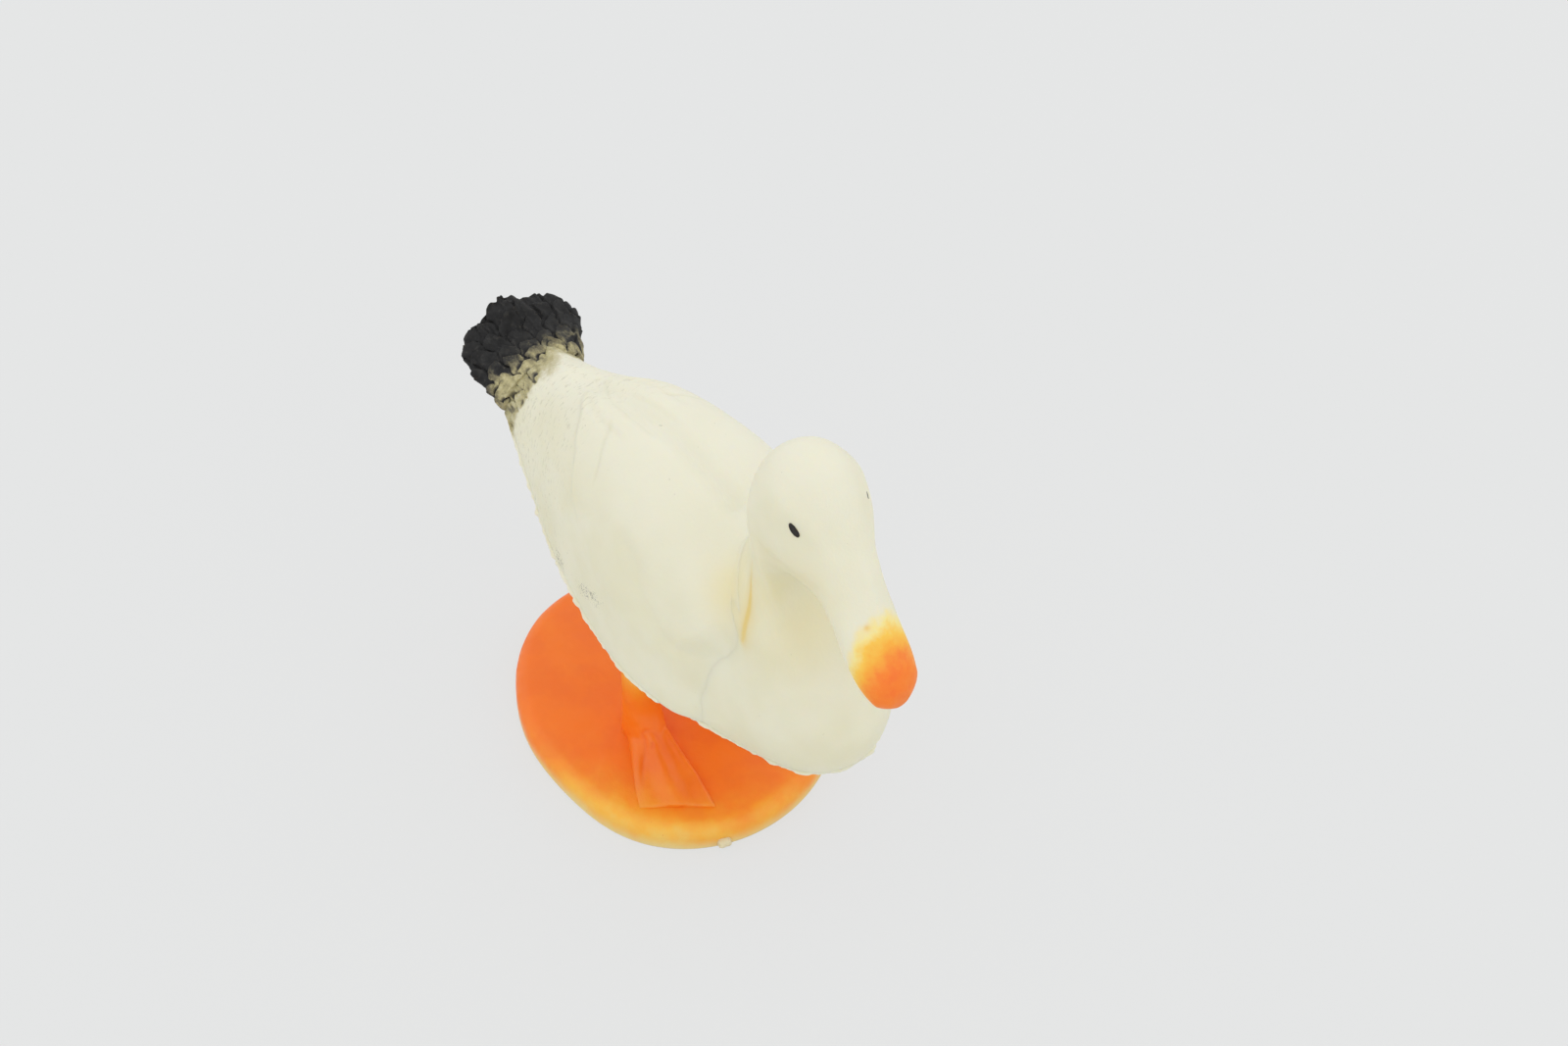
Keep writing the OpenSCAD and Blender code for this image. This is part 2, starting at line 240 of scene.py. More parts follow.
def grid_faces(m, n):
    """Quads between m closed rings of n points."""
    i, j = np.meshgrid(np.arange(m - 1), np.arange(n), indexing="ij")
    k = (j + 1) % n
    return np.stack([i * n + j, i * n + k, (i + 1) * n + k, (i + 1) * n + j], -1).reshape(-1, 4)


def skin(rows):
    """Points and faces of a closed mesh through rows of points, flat at both ends."""
    m, n = rows.shape[:2]
    faces = [list(f) for f in grid_faces(m, n)]
    faces += [list(range(n))[::-1], [(m - 1) * n + j for j in range(n)]]
    return rows.reshape(-1, 3), faces


def loft(rings):
    """Closed mesh through rings of points, with its ends drawn in to their middles."""
    caps = []
    for end in (0, len(rings) - 1):
        middle = rings[end].mean(0)
        caps.append([middle + (rings[end] - middle) * k for k in (0.66, 0.33, 0.02)])
    return skin(np.concatenate([np.array(caps[0])[::-1], rings, np.array(caps[1])]))


def make(name, verts, faces):
    """Smooth-shaded object in millimetres, with its faces turned outward."""
    mesh = bpy.data.meshes.new(name)
    mesh.from_pydata([tuple(v) for v in np.asarray(verts) * MM], [],
                     [tuple(int(i) for i in f) for f in faces])
    mesh.update()
    obj = bpy.data.objects.new(name, mesh)
    bpy.context.scene.collection.objects.link(obj)
    mesh.polygons.foreach_set("use_smooth", [True] * len(mesh.polygons))
    bm = bmesh.new()
    bm.from_mesh(mesh)
    bmesh.ops.recalc_face_normals(bm, faces=bm.faces)
    bm.to_mesh(mesh)
    bm.free()
    return obj


def at_points(obj, name):
    """Three numbers at each of the mesh's points."""
    out = np.zeros(len(obj.data.vertices) * 3)
    obj.data.vertices.foreach_get(name, out)
    return out.reshape(-1, 3)


def coords(obj):
    """Points of the mesh in millimetres."""
    return at_points(obj, "co") / MM


def normals(obj):
    """Normals at the mesh's points."""
    obj.data.update()
    return at_points(obj, "normal")


def set_coords(obj, co):
    """Moves the mesh's points, given in millimetres."""
    obj.data.vertices.foreach_set("co", (np.asarray(co) * MM).ravel())
    obj.data.update()


def keep(obj, **values):
    """Stores numbers at the mesh's points, for a material to read."""
    for name, value in values.items():
        layer = obj.data.attributes.new(name, "FLOAT", "POINT")
        layer.data.foreach_set("value", np.asarray(value, np.float32))


def remesh(obj, size, rounds):
    """Fuses the object's shells into one even skin and smooths it."""
    mod = obj.modifiers.new("fuse", "REMESH")
    mod.mode = "VOXEL"
    mod.voxel_size = size * MM
    mod.use_smooth_shade = True
    soft = obj.modifiers.new("soft", "SMOOTH")
    soft.factor = 0.5
    soft.iterations = rounds
    graph = bpy.context.evaluated_depsgraph_get()
    mesh = bpy.data.meshes.new_from_object(obj.evaluated_get(graph))
    obj.modifiers.clear()
    old = obj.data
    obj.data = mesh
    bpy.data.meshes.remove(old)
    mesh.name = obj.name
    mesh.polygons.foreach_set("use_smooth", [True] * len(mesh.polygons))


def soften(obj, q, share, rounds):
    """Evens out the points with their neighbours, by the given share."""
    ends = np.zeros(len(obj.data.edges) * 2, int)
    obj.data.edges.foreach_get("vertices", ends)
    a, b = ends.reshape(-1, 2).T
    count = np.bincount(a, minlength=len(q)) + np.bincount(b, minlength=len(q))
    for _ in range(rounds):
        mean = np.stack([(np.bincount(a, q[b, k], len(q)) + np.bincount(b, q[a, k], len(q)))
                         / count for k in range(3)], -1)
        q = q + (mean - q) * (0.6 * share)[:, None]
    return q


# ---- relief

def evened(line, rounds):
    """The line smoothed between its ends."""
    for _ in range(rounds):
        line[1:-1] = (line[:-2] + 2 * line[1:-1] + line[2:]) / 4
    return line


def on_surface(p, line):
    """Moves a line onto the surface that the points p lie on."""
    tree = KDTree(len(p))
    for i, point in enumerate(p):
        tree.insert(point, i)
    tree.balance()
    return evened(np.array([p[tree.find(point)[1]] for point in line]), 6)


def depth_in(p, obj):
    """Distance of points outside another piece's skin, and that skin's normals beside them."""
    co = coords(obj) * MM
    tree = BVHTree.FromPolygons([tuple(c) for c in co],
                                [tuple(f.vertices) for f in obj.data.polygons])
    out = np.zeros(len(p))
    way = np.zeros((len(p), 3))
    for i, point in enumerate(p * MM):
        met, normal, _, far = tree.find_nearest(point)
        gap = np.array(point) - np.array(met)
        sign = 1.0 if gap @ np.array(normal) >= 0 else -1.0
        out[i] = sign * far / MM
        way[i] = normal
    return out, way


def gap_near(p, near, obj):
    """The same as depth_in, measured only at the points marked as near."""
    gap = np.full(len(p), FAR)
    way = np.zeros((len(p), 3))
    gap[near], way[near] = depth_in(p[near], obj)
    return gap, way


def above_wing(p):
    """How far up the fold each point lies, from 0 in the breast to 1 beside the neck."""
    return ease((p[:, 2] - RIM - 14) / 5)


def relief(p, n, points, height, width, kind="groove", reach=2.0, fade=0.2):
    """Height of a modelled line or step at each point p with surface normal n.

    A step is raised on the left of the line's run, seen from outside, and sinks back
    over its reach. Every line fades out over a share of its length at both ends."""
    line = on_surface(p, path(points))
    tangent = np.gradient(line, axis=0)
    tangent /= np.maximum(np.linalg.norm(tangent, axis=1), 1e-6)[:, None]
    d, i, gap = nearest(p, line)
    t = i / (len(line) - 1)
    ends = ease(t / fade) * ease((1 - t) / fade)
    past = np.where((i == 0) | (i == len(line) - 1), np.abs((gap * tangent[i]).sum(1)), 0)
    ends = ends * np.exp(-(past / (2 * width)) ** 2)
    if kind != "step":
        return (height if kind == "ridge" else -height) * np.exp(-(d / width) ** 2) * ends
    side = np.sign((np.cross(n, tangent[i]) * gap).sum(1))
    signed = side * d
    sink = np.exp(-(np.maximum(signed, 0) / reach) ** 2)
    return height * ease(0.5 + signed / (2 * width)) * sink * ends


def lines_in(p, n, *lines, **how):
    """Relief of lines on both sides of the bird, each given with its height and width."""
    return sum(relief(p, n, side, height, width, **how)
               for points, height, width in lines for side in both(points))


def mirror(points):
    """The same line on the bird's other side."""
    return [(x, 2 * LEAN - y, z) for x, y, z in points]


def both(points):
    """The line on each side of the bird."""
    return [points, mirror(points)]


def blend(gap):
    """Rise that rounds the inside corner where two skins cross."""
    return FILLET / 4 * np.clip(1 - np.abs(gap) / FILLET, 0, 1) ** 2


# ---- lofts

def back_point(s, a):
    """Point of the back at station s and angle a from the top."""
    v = spline(REAR, s)
    w = v[..., 5] * BODY_WIDTH / 2
    e = 1 - 0.28 * ease((s - 1) / 3)
    up = power(np.cos(a), e)
    out = power(np.sin(a), e)
    z = v[..., 3] + (v[..., 1] - v[..., 3]) * up
    ahead = 3.2 * ease(s - SEAM) * ease((z - 9) / 7)
    dip = GROOVE * np.exp(-(out * w / 1.3) ** 2) * ease((s - 1.5) / 1.5)
    return place(v[..., 2] + (v[..., 0] - v[..., 2]) * up + ahead,
                 LEAN + w * out, z - dip)


def station_run(point, last, count, angles):
    """Station positions that are evenly spaced along a loft."""
    dense = np.linspace(0, last, 1200)
    rows = point(dense[:, None], angles[None, :])
    step = np.sqrt((np.diff(rows, axis=0) ** 2).sum(2).mean(1))
    run = np.concatenate([[0], np.cumsum(step)])
    return np.interp(np.linspace(0, run[-1], count), run, dense)


def flat_sided(point, stations, dense, arcs, floor_points):
    """Rings of even points over half a turn, each closed by points along its flat side."""
    t = np.arange(1, floor_points + 1)[:, None] / (floor_points + 1)
    rings = []
    for s in stations:
        a = dense[0] + math.pi * even(point(np.full(len(dense), s), dense), arcs + 1)
        arc = point(np.full(len(a), s), a)
        rings.append(np.concatenate([arc, arc[-1] + (arc[0] - arc[-1]) * t]))
    return np.array(rings)


def back_rings(rows=270, arcs=250, floor_points=40):
    """Rings of the back, flat along its floor."""
    stations = station_run(back_point, 8, rows, np.radians(np.linspace(-80, 80, 21)))
    return flat_sided(back_point, stations, np.radians(np.linspace(-90, 90, 1501)), arcs,
                      floor_points)


def front_point(s, a):
    """Point of the breast, neck, head or bill at station s and angle a from the top."""
    v = spline(FRONT, s)
    turn = np.radians(HEAD_TURN * ease((s - 4) / 4))
    up, out = np.cos(a), np.sin(a)
    e = np.where(up > 0, 1.0, 1 / v[..., 6])
    mx = v[..., 0] + (v[..., 2] - v[..., 0]) * v[..., 5]
    mz = v[..., 1] + (v[..., 3] - v[..., 1]) * v[..., 5]
    rise = power(up, e)
    qx = mx + np.where(up > 0, v[..., 0] - mx, mx - v[..., 2]) * rise
    qz = mz + np.where(up > 0, v[..., 1] - mz, mz - v[..., 3]) * rise
    pinch = np.where(up > 0, 1 + 0.5 * ease(s) * ease((SKULL_FROM + 1.5 - s) / 2), e)
    w = v[..., 4] * power(out, pinch)
    ahead = qx - TURN_AXIS
    return place(TURN_AXIS + ahead * np.cos(turn) + w * np.sin(turn),
                 v[..., 7] + w * np.cos(turn) - ahead * np.sin(turn), qz)


def front_rings(rows=410, around=236):
    """Evenly spaced rings from the breast to the bill's tip."""
    stations = station_run(front_point, len(FRONT) - 1, rows, np.radians(np.arange(0, 360, 15)))
    dense = np.linspace(0, 2 * math.pi, 1441)
    rings = []
    for s in stations:
        ring = front_point(np.full(len(dense), s), dense)
        a = 2 * math.pi * even(ring, around + 1)[:-1]
        rings.append(front_point(np.full(len(a), s), a))
    return np.array(rings)


def belly_point(s, a):
    """Point of the belly at station s and angle a from the top."""
    full = 1 / 0.7
    v = spline(REAR, s)
    w = v[..., 5] * BODY_WIDTH / 2 - RIM_STEP
    return place(v[..., 2], LEAN + w * power(np.sin(a), full),
                 v[..., 3] + (v[..., 4] - v[..., 3]) * power(-np.cos(a), full))


# ---- lines and paint

# Lines on the bird's right side, as points in millimetres; the left side mirrors them.
WING_TIP = [(-13.0, 1.0, 40.0), (-12.5, -0.3, 40.1), (-11.2, -2.0, 40.6), (-9.5, -3.3, 40.7),
            (-8.0, -4.8, 40.0), (-6.7, -5.9, 39.3), (-5.0, -7.5, 36.8), (-2.6, -9.0, 34.6),
            (1.0, -10.0, 33.0), (5.0, -10.6, 31.6), (9.0, -10.9, 30.6), (13.5, -10.6, 30.2),
            (17.1, -9.6, 30.6), (19.2, -8.4, 32.4)]
WING_SECOND = [(-6.0, -1.6, 42.4), (-4.7, -3.0, 42.6), (-4.0, -4.1, 42.4), (-3.1, -5.2, 41.8),
               (-2.5, -5.9, 41.2), (-1.6, -7.2, 39.6)]
WING_LOBE = [(3.0, -7.6, 40.0), (7.6, -8.8, 38.3), (8.4, -9.2, 37.1), (9.6, -9.5, 35.8),
             (11.1, -9.7, 34.8), (12.7, -9.7, 33.5), (14.6, -9.5, 32.7), (16.6, -9.1, 32.6),
             (18.6, -8.5, 33.4)]
PRIMARY = [(-13.2, 1.9, 39.8), (-12.5, 2.8, 40.1), (-10.8, 3.1, 40.9), (-9.4, 3.7, 41.4),
           (-8.0, 4.2, 41.9), (-5.8, 4.7, 42.6), (-3.1, 4.8, 43.3), (-1.2, 5.6, 43.5)]
PRIMARY_INNER = [(-9.2, 1.9, 41.5), (-6.4, 2.2, 42.5), (-3.2, 2.3, 43.5), (0.5, 2.7, 44.0)]
CREASE = [(21.6, -4.9, 49.1), (21.3, -4.8, 46.3), (21.7, -5.2, 43.9), (22.0, -5.6, 42.0),
          (22.1, -6.1, 39.2), (21.3, -6.7, 38.0), (20.5, -7.4, 36.5), (19.9, -7.8, 35.0),
          (19.6, -8.0, 32.9), (19.5, -8.2, 29.9), (19.5, -8.3, 26.9), (19.5, -8.4, 24.1)]
FLANK = [(-8.6, -8.1, 24.8), (-6.9, -8.6, 24.9), (-4.7, -9.1, 25.9), (-2.1, -9.7, 26.3),
         (0.3, -10.2, 27.6), (3.0, -10.6, 29.0), (5.4, -10.8, 29.9)]
BROW = [(22.5, -4.6, 60.5), (25.0, -5.0, 61.0), (27.8, -4.6, 60.2), (29.8, -3.7, 58.2),
        (31.8, -2.7, 55.4), (34.0, -2.6, 52.4)]
CHEEK = [(21.5, -5.2, 55.6), (24.0, -5.4, 53.4), (26.8, -5.0, 52.4), (29.0, -4.6, 53.0),
         (30.8, -4.2, 51.9), (32.9, -4.2, 49.8)]
CULMEN = [(32.0, 0.0, 57.5), (34.0, -0.4, 53.6), (36.2, -0.7, 50.6), (38.4, -0.9, 48.0),
          (40.0, -1.0, 46.2)]
NOSTRIL = (35.6, -2.3, 50.9)
KNOB = (-31.3, 1.7, 36.2)
# y and x of the line where the smooth rump ends over the tail.
COVERT = np.array([[-9.0, -22.6], [-7.0, -22.0], [-5.0, -21.2], [-3.5, -20.6], [-1.6, -20.0],
                   [0.3, -21.3], [1.6, -22.9], [2.4, -23.8], [3.0, -23.7], [3.6, -22.8],
                   [4.3, -21.7], [5.0, -20.7], [7.0, -19.6]])


def past_covert(p):
    """How far each point lies behind the ragged edge where the smooth rump ends."""
    wave = 0.35 * noise(p, 1.6, 53) + 0.15 * noise(p, 0.6, 54)
    return np.interp(p[:, 1], COVERT[:, 0], COVERT[:, 1]) - p[:, 0] + wave


def tail_spray(p):
    """How much black spray has reached each point, from 0 to 1."""
    behind = past_covert(p)
    drift = 0.8 * fractal(p, 2.6, 3, 51)
    thin = 0.08 * ease((behind + 2.4) / 2.4) + 0.22 * ease((behind + 0.3) / 0.8)
    bare = 1 - ease((behind + 0.5) / 1.2)
    haze = 0.24 * ease((p[:, 1] + 1.8) / 2.5) * ease((behind + 4.2) / 4.4) * (0.35 + 0.65 * bare)
    return thin + haze + (0.68 - haze) * ease((-p[:, 0] - 22.6 - 0.7 * bare + drift) / 5.0)


def scales(along, across, p):
    """Rough overlapping feather tips: heights from about -1 to 1."""
    warp = fractal(p, 2.4, 2, 61)
    shift = fractal(p, 1.8, 2, 67)
    v = across / 2.1 + 0.30 * shift
    column = np.round(v)
    c = 2 * (v - column)
    u = along / 1.9 + 0.5 * (column % 2) + 0.45 * warp
    u = u + 0.22 * lattice(column.astype(np.int64), 0, 0, 5) + 0.55 * c ** 2
    f = u - np.floor(u)
    tile = f * ease((1 - f) / 0.18) * 1.5 - 0.5 - 0.5 * ease((np.abs(c) - 0.72) / 0.28)
    barbs = 1 - 2 * np.abs(noise(np.stack([along * 0.35, across * 1.4, 0 * across], -1), 0.9, 71))
    return tile + 0.35 * barbs + 0.35 * fractal(p, 1.1, 2, 73)


def along_line(p, points):
    """Distance from each point to a line, and how far along it lies, from 0 to 1."""
    d, i, _ = nearest(p, path(points))
    return d, i / (LINE_POINTS - 1)


def smudge(p):
    """Where dark dust has rubbed into the near flank."""
    d, t = along_line(p, FLANK)
    first = 1.1 * np.exp(-((t - 0.10) / 0.12) ** 2)
    second = np.exp(-((t - 0.62) / 0.32) ** 2)
    return np.exp(-(d / 1.6) ** 2) * np.maximum(first, second)


def amber(p):
    """Painted shade: a deep yellow tint in the fold ahead of each wing."""
    total = 0
    for side in both(CREASE):
        d, t = along_line(p, side)
        deep = ease((0.47 - t) / 0.10) * ease(t / 0.22)
        faint = 0.25 * ease((0.9 - t) / 0.3)
        total = total + deep * (0.6 * np.exp(-(d / 0.36) ** 2) + 0.5 * np.exp(-(d / 1.2) ** 2))
        total = total + faint * np.exp(-(d / 0.2) ** 2)
    return np.clip(total, 0, 1)


def hollow(p):
    """Painted shade: a soft yellow tint in the folds beside the neck and under the head, where they
    lie in shade.
    """
    total = 0
    for x, y, z, r, k in ((18.5, -4.6, 41.5, 3.6, 1.0), (21.5, -5.6, 42.5, 2.6, 0.5),
                          (26.0, -2.0, 42.0, 4.5, 0.6), (28.5, -4.8, 52.0, 3.6, 0.55),
                          (24.5, -5.2, 52.5, 3.5, 0.4), (23.0, -4.0, 46.0, 4.0, 0.5)):
        for yy in (y, 2 * LEAN - y):
            d = np.linalg.norm(p - [x, yy, z], axis=1)
            total = np.maximum(total, k * np.exp(-(d / r) ** 2))
    return total


def bleached(n):
    """Painted light: how much whiter the vinyl is drawn where it faces up."""
    return ease((n[:, 2] - 0.1) / 0.8)


def bill_spray(p):
    """Orange spray on the bill, heavier on its upper left side and its tip."""
    drift = 0.35 * fractal(p, 1.3, 3, 91)
    return ease((p[:, 0] - 34.7 + 0.02 * (p[:, 1] + 1.2) + 0.05 * (p[:, 2] - 48) + drift) / 4.8)


def fold_line(p):
    """Depth of the hairline along the fold ahead of each wing."""
    total = 0
    for side in both(CREASE):
        d, t = along_line(p, side)
        total = total + 0.06 * np.exp(-(d / 0.22) ** 2) * ease((0.9 - t) / 0.3) * ease(t / 0.2)
    return total


def floor_paint(p):
    """Strength of the orange on the plinth and feet, which thins out towards the near edge."""
    spread = np.hypot(p[:, 0] / (PLINTH_LENGTH / 2), p[:, 1] / (PLINTH_WIDTH / 2))
    way = np.arctan2(p[:, 1], p[:, 0]) + math.radians(45)
    clear = 0.60 + (0.33 - 0.12 * np.sin(way)) * (1 - np.cos(way))
    return 1 - ease((spread + 0.06 * fractal(p, 4.0, 3, 43) - clear) / 0.66)


# ---- pieces

def wing_end(z):
    """x where the folded wing's front end lies at a height."""
    return (19.7 + 3.2 * ease((z - RIM - 9) / 7)) * BODY_LENGTH / TABLE_LENGTH


def wing_relief(p, n):
    """Steps at the edges of the wings, their fine lines and their soft grooves."""
    steps = 0
    for line, side in ((WING_TIP, 1), (mirror(WING_TIP), -1)):
        steps = steps + relief(p, n, line[:8][::side], 0.30, 0.5, "step", 4.0, 0.15)
        steps = steps + relief(p, n, line[5:][::side], 0.22, 1.6, "step", 4.0, 0.45)
    fine = lines_in(p, n, (WING_TIP[1:8], 0.08, 0.18), (WING_SECOND, 0.08, 0.22))
    soft = lines_in(p, n, (WING_LOBE, 0.12, 0.8), (PRIMARY, 0.13, 0.4), (PRIMARY_INNER, 0.13, 0.4))
    return steps, fine, soft


def shell_height(q, lift):
    """Height over the breast's skin that shows the wing behind the fold and hides it ahead."""
    fold = np.interp(q[:, 2], [c[2] for c in CREASE[::-1]], [c[0] for c in CREASE[::-1]])
    return 0.05 - 0.35 * ease((q[:, 0] - fold + 0.05) / 0.25) - 0.3 * (1 - lift)


def join_front(obj, p, n, q, front):
    """Runs the back's skin into the breast's and rounds the fold between them."""
    near = (p[:, 0] > 11) & (p[:, 2] > RIM - 0.5)
    gap, way = gap_near(p, near, front)
    plain = make("front_guide", *loft(front_rings(200, 130)))
    corner = gap_near(p, near, plain)[0]
    bpy.data.objects.remove(plain)
    ahead = p[:, 0] - wing_end(p[:, 2])
    high = above_wing(p)
    merge = ease((ahead + 5.0) / 4.4) * (1 - high) * (gap > 0)
    q -= way * ((gap + 0.05) * merge)[:, None]
    dive = ease((ahead + 0.35) / 0.3)
    q -= n * (0.35 * dive * (gap > -0.1) * (gap < 3))[:, None]
    q += n * (blend(corner) * high)[:, None]
    risen = gap_near(q, near, front)[0]
    lift = ease(SUNK + risen) * high
    shallow = near & (risen > -SUNK) & (high > 0.05)
    over = shallow & (risen < 0.05)
    again, across = depth_in(q[over], front)
    shown = q[over] - across * again[:, None]
    q[over] = shown + across * shell_height(shown, lift[over])[:, None]
    q = soften(obj, q, np.exp(-(risen / 2.0) ** 2) * high * near * (p[:, 2] < 52), 150)
    over = shallow & (risen < 1.0)
    again, across = depth_in(q[over], front)
    q[over] += across * np.clip(shell_height(q[over], lift[over]) - again, 0, 0.6)[:, None]
    return q


def build_back(front):
    """Upper body with its folded wings and the rough feathers over the tail."""
    obj = make("back_shell", *loft(back_rings()))
    p, n = coords(obj), normals(obj)
    steps, fine, soft = wing_relief(p, n)
    h = 0.09 * fractal(p, 7.0, 2, 3) + 0.025 * fractal(p, 1.8, 2, 5) + steps + fine + soft
    zone = ease((past_covert(p) + 0.3) / 0.9)
    off = p[:, 1] - LEAN
    feather = scales(-p[:, 0], off - 0.8 * np.tanh(off / 1.5) * (p[:, 2] - 33), p)
    rump = ease((-p[:, 0] - 14) / 7)
    h = h * (1 - rump) + 0.035 * feather * rump * (1 - zone) + (0.22 * feather - 0.16) * zone
    down = fractal(p * [1, 0.45, 0.45], 0.7, 2, 81)
    h = h + 0.02 * down * ease((-p[:, 0] - 4) / 10) * (1 - zone)
    q = p + n * (h * ease((p[:, 2] - RIM - 1.0) / 2.5))[:, None]
    q = join_front(obj, p, n, q, front)
    tail_end = (REAR[0, 2] + (p[:, 2] - RIM - REAR[0, 3]) / 9) * BODY_LENGTH / TABLE_LENGTH
    lobe = np.clip(tail_end - np.interp(p[:, 1], COVERT[:, 0], COVERT[:, 1]), 0, 3) + 0.3
    q[:, 0] -= lobe * ease((tail_end + 2.2 - p[:, 0]) / 2.2) * ease((p[:, 2] - 30.5) / 1.5)
    set_coords(obj, q)
    cavity = np.clip(-1.2 * feather - 0.1, 0, 0.8) * zone + np.clip(-4 * fine - 0.6 * soft, 0, 0.5)
    keep(obj, spray=tail_spray(q), cavity=cavity, amber=amber(p), smudge=smudge(p),
         bleached=bleached(n), down=ease((-p[:, 0] - 3) / 11) * ease((p[:, 2] - RIM) / 3),
         hollow=hollow(p))
    return obj


def build_front():
    """Breast, neck, head and bill, with the rings they were made from."""
    rings = front_rings()
    obj = make("breast_head_shell", *loft(rings))
    p, n = coords(obj), normals(obj)
    h = 0.07 * fractal(p, 6.0, 2, 11) + 0.012 * fractal(p, 1.5, 2, 12)
    h = h * (1 - 0.7 * ease((p[:, 0] - 33) / 2))
    h = h + lines_in(p, n, (BROW, 0.16, 1.1), kind="ridge", fade=0.3)
    h = h + lines_in(p, n, (CHEEK, 0.10, 0.9), fade=0.3)
    h = h + relief(p, n, CULMEN, 0.14, 0.8, "ridge", fade=0.25)
    for y in (NOSTRIL[1], -NOSTRIL[1] - 1.6):
        d = np.linalg.norm(p - [NOSTRIL[0], y, NOSTRIL[2]], axis=1)
        h = h - 0.07 * np.exp(-(d / 0.28) ** 2)
    h = h - fold_line(p)
    plain = make("back_guide", *loft(back_rings(140, 130, 20)))
    near = (p[:, 0] > 11) & (p[:, 0] < 27) & (p[:, 2] > RIM + 14) & (p[:, 2] < 52)
    h = h + blend(gap_near(p, near, plain)[0]) * above_wing(p)
    bpy.data.objects.remove(plain)
    q = p + n * h[:, None]
    off = np.linalg.norm(p[:, 1:] - rings[-1].mean(0)[1:], axis=1)
    q[:, 0] -= 0.45 * (np.minimum(off, 1.3) / 1.1) ** 2 * ease((p[:, 0] - 39.6) / 1.0)
    q = soften(obj, q, ease((p[:, 0] - 39.0) / 0.8), 150)
    set_coords(obj, q)
    d = np.linalg.norm(p - NOSTRIL, axis=1)
    keep(obj, spray=bill_spray(p), dot=np.exp(-(d / 0.3) ** 2), amber=amber(p),
         bleached=bleached(n), hollow=hollow(p))
    return obj, rings


def build_eye(side):
    """A dot of paint that lies on the head's skin."""
    station, angle = 9.9, math.radians(60 * side)
    step = 0.02

    def at(s, a):
        return front_point(np.array(s), np.array(a))
    ahead = at(station + step, angle) - at(station - step, angle)
    across = at(station, angle + step) - at(station, angle - step)
    rows = []
    for k in np.linspace(1, 0.02, 18):
        b = np.linspace(0, 2 * math.pi, 72, endpoint=False)
        wob = 1 + 0.04 * np.sin(2 * b + 1) + 0.03 * np.sin(3 * b)
        ds = EYE_LENGTH / 2 * k * wob * np.cos(b) * 2 * step / np.linalg.norm(ahead)
        da = EYE_HEIGHT / 2 * k * wob * np.sin(b) * 2 * step / np.linalg.norm(across)
        ring = at(station + ds, angle + da)
        normal = np.cross(ahead, across) * side
        normal /= np.linalg.norm(normal)
        rows.append(ring + normal * (0.07 * math.sqrt(max(0.0, 1 - k ** 2)) - 0.02 * (k > 0.97)))
    base = rows[0] - normal * 0.12
    return make("eye_dot_%s" % ("left" if side > 0 else "right"), *loft(np.array([base] + rows)))


def build_belly():
    """Underside of the body, with orange that has strayed round the legs."""
    rings = flat_sided(belly_point, np.linspace(0, SEAM, 170),
                       np.radians(np.linspace(90, 270, 1201)), 150, 20)
    obj = make("belly_shell", *loft(rings))
    p, n = coords(obj), normals(obj)
    low = ease((RIM - 0.4 - p[:, 2]) / 2)
    h = low * (0.09 * fractal(p, 6.0, 2, 21) + 0.02 * fractal(p, 1.6, 2, 22))
    set_coords(obj, p + n * h[:, None])
    legs_near = 0
    for side in (-1, 1):
        r = np.hypot(p[:, 0] - LEG_FORWARD, p[:, 1] - side * LEG_SPACING / 2)
        legs_near = np.maximum(legs_near, ease((6.0 + 0.8 * fractal(p, 3.0, 2, 23) - r) / 3.5))
    keep(obj, orange=legs_near * ease((RIM - 3 - p[:, 2]) / 3), spray=tail_spray(p))
    return obj


def fan_rings(rows=170, around=460):
    """Rings of the tail's fan, which leans with the end of the body."""
    root = REAR[0]
    slant = (root[0] - root[2]) / (root[1] - root[3])
    t = np.linspace(0, 1, rows)[:, None]
    a = np.linspace(0, 2 * math.pi, around, endpoint=False)[None, :]
    v = spline(FAN, t * (len(FAN) - 1))
    trim = 0.10 * ease((t - 0.3) / 0.6) * np.maximum(-np.sin(a), 0)
    w = v[..., 2] * FAN_WIDTH / 2 * (1 - trim)
    feather = np.cos(FEATHERS * math.pi / 2 * np.sin(a)) ** 2
    z = v[..., 1] + (v[..., 3] + 0.1 * (feather - 0.5) * ease(3 * t)) * np.cos(a)
    x = (root[2] + slant * (z - root[3])
         - (v[..., 0] * FAN_LENGTH + 0.3 * feather * t ** 3) * TABLE_LENGTH / BODY_LENGTH)
    return place(x, LEAN + 0.8 * ease(2 * t) + w * np.sin(a), z)


def build_fan():
    """The tail's fan of rough feathers."""
    obj = make("tail_fan_feathers", *loft(fan_rings()))
    p, n = coords(obj), normals(obj)
    feather = scales(-p[:, 0], p[:, 1] - LEAN + 2.7 * (n[:, 2] < 0), p)
    rise = ease((past_covert(p) + 0.1) / 0.6) * (0.6 + 0.4 * ease((-p[:, 0] - 22.5) / 1.5))
    h = 0.28 * feather * rise
    q = p + n * h[:, None]
    knob = np.linalg.norm((p - KNOB) / [2.4, 2.0, 2.8], axis=1)
    q += np.array([0.0, 0.0, 2.1]) * (np.exp(-knob ** 4) * (1 + 0.25 * noise(p, 0.8, 79)))[:, None]
    past = np.maximum(-30.4 - q[:, 0], 0)
    q[:, 0] += past - 1.8 * np.tanh(past / 1.8)
    set_coords(obj, q)
    keep(obj, cavity=np.clip(-1.5 * feather * rise, 0, 1), spray=tail_spray(p))
    return obj


